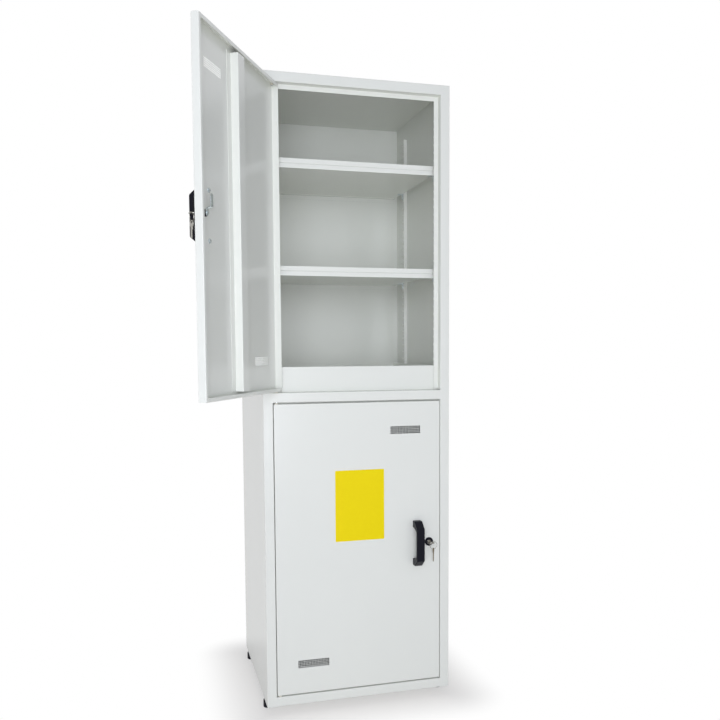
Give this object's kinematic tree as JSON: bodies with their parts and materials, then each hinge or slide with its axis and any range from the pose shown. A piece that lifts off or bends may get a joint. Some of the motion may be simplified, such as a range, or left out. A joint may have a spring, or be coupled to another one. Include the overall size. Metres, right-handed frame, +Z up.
{
  "type": "safety storage cabinet",
  "caption": "Free-standing sheet-steel safety storage cabinet with stacked lockable compartments, pivoting vented doors, tray shelves and sump trays.",
  "frame": {"origin": "on the floor, under the middle of the body", "axes": "+Z up, +X to the right seen from the front, the doors face -Y"},
  "size_m": [0.8364, 1.0137, 1.96],
  "materials": {
    "body_paint": "semi-gloss white powder coat",
    "tray_paint": "semi-gloss white powder coat",
    "zinc_steel": "bright zinc plate",
    "nickel": "nickel plate",
    "black_plastic": "satin moulded plastic",
    "nylon": "natural nylon",
    "brass_key": "worn brass",
    "card_yellow": "plain satin yellow vinyl"
  },
  "bodies": {
    "carcass": {"side_panel_left": "body_paint", "side_panel_right": "body_paint", "back_panel": "body_paint", "top_panel": "body_paint", "top_rail": "body_paint", "mid_rail": "body_paint", "mid_divider": "body_paint", "bottom_rail": "body_paint", "floor_panel": "body_paint", "foot_brackets": "zinc_steel", "foot_nuts": "zinc_steel", "uprights_upper_left": "body_paint", "uprights_upper_right": "body_paint", "shelf_clips_upper": "zinc_steel", "shelf_upper_1": "tray_paint", "shelf_upper_2": "tray_paint", "sump_upper": "tray_paint", "hinge_pins_upper": "zinc_steel", "uprights_lower_left": "body_paint", "uprights_lower_right": "body_paint", "shelf_clips_lower": "zinc_steel", "shelf_lower_1": "tray_paint", "shelf_lower_2": "tray_paint", "sump_lower": "tray_paint", "hinge_pins_lower": "zinc_steel"},
    "door_upper": {"door_upper": "body_paint", "stiffener_upper": "body_paint", "hinge_bushes_upper": "nylon", "handle_upper": "black_plastic", "handle_screws_upper": "zinc_steel", "lock_housing_upper": "black_plastic", "lock_nut_upper": "zinc_steel"},
    "lock_upper": {"lock_plug_upper": "nickel", "cam_upper": "zinc_steel", "cam_screw_upper": "zinc_steel", "key_upper": "nickel"},
    "keys_upper": {"key_ring_upper": "nickel", "spare_key_upper": "nickel"},
    "door_lower": {"door_lower": "body_paint", "stiffener_lower": "body_paint", "hinge_bushes_lower": "nylon", "handle_lower": "black_plastic", "handle_screws_lower": "zinc_steel", "lock_housing_lower": "black_plastic", "lock_nut_lower": "zinc_steel", "door_card": "card_yellow"},
    "lock_lower": {"lock_plug_lower": "nickel", "cam_lower": "zinc_steel", "cam_screw_lower": "zinc_steel", "key_lower": "nickel"},
    "keys_lower": {"key_ring_lower": "nickel", "spare_key_lower": "brass_key"},
    "foot_front_left": {"foot_pad_front_left": "black_plastic", "foot_stud_front_left": "zinc_steel"},
    "foot_front_right": {"foot_pad_front_right": "black_plastic", "foot_stud_front_right": "zinc_steel"},
    "foot_rear_left": {"foot_pad_rear_left": "black_plastic", "foot_stud_rear_left": "zinc_steel"},
    "foot_rear_right": {"foot_pad_rear_right": "black_plastic", "foot_stud_rear_right": "zinc_steel"}
  },
  "joints": [
    {"name": "door_upper_hinge", "type": "hinge", "parent": "carcass", "child": "door_upper", "pos_m": [-0.259, -0.27, 1.46925], "axis": [0, 0, -1], "range_deg": [-119, 6]},
    {"name": "lock_upper_turn", "type": "hinge", "parent": "door_upper", "child": "lock_upper", "pos_m": [-0.50093, -0.69614, 1.46875], "axis": [0.8746, -0.4848, 0], "range_deg": [0, 90]},
    {"name": "keys_upper_swing", "type": "hinge", "parent": "door_upper", "child": "keys_upper", "pos_m": [-0.50093, -0.69614, 1.46875], "axis": [0.8746, -0.4848, 0], "range_deg": [-6, 6]},
    {"name": "door_lower_hinge", "type": "hinge", "parent": "carcass", "child": "door_lower", "pos_m": [-0.259, -0.27, 0.51775], "axis": [0, 0, -1], "range_deg": [0, 125]},
    {"name": "lock_lower_turn", "type": "hinge", "parent": "door_lower", "child": "lock_lower", "pos_m": [0.231, -0.275, 0.51725], "axis": [0, 1, 0], "range_deg": [0, 90]},
    {"name": "keys_lower_swing", "type": "hinge", "parent": "door_lower", "child": "keys_lower", "pos_m": [0.231, -0.275, 0.51725], "axis": [0, 1, 0], "range_deg": [-6, 6]},
    {"name": "foot_front_left_turn", "type": "hinge", "parent": "carcass", "child": "foot_front_left", "pos_m": [-0.285, -0.1998, 0.027], "axis": [0, 0, 1], "continuous": true},
    {"name": "foot_front_right_turn", "type": "hinge", "parent": "carcass", "child": "foot_front_right", "pos_m": [0.285, -0.1998, 0.027], "axis": [0, 0, 1], "continuous": true},
    {"name": "foot_rear_left_turn", "type": "hinge", "parent": "carcass", "child": "foot_rear_left", "pos_m": [-0.285, 0.2196, 0.027], "axis": [0, 0, 1], "continuous": true},
    {"name": "foot_rear_right_turn", "type": "hinge", "parent": "carcass", "child": "foot_rear_right", "pos_m": [0.285, 0.2196, 0.027], "axis": [0, 0, 1], "continuous": true}
  ]
}
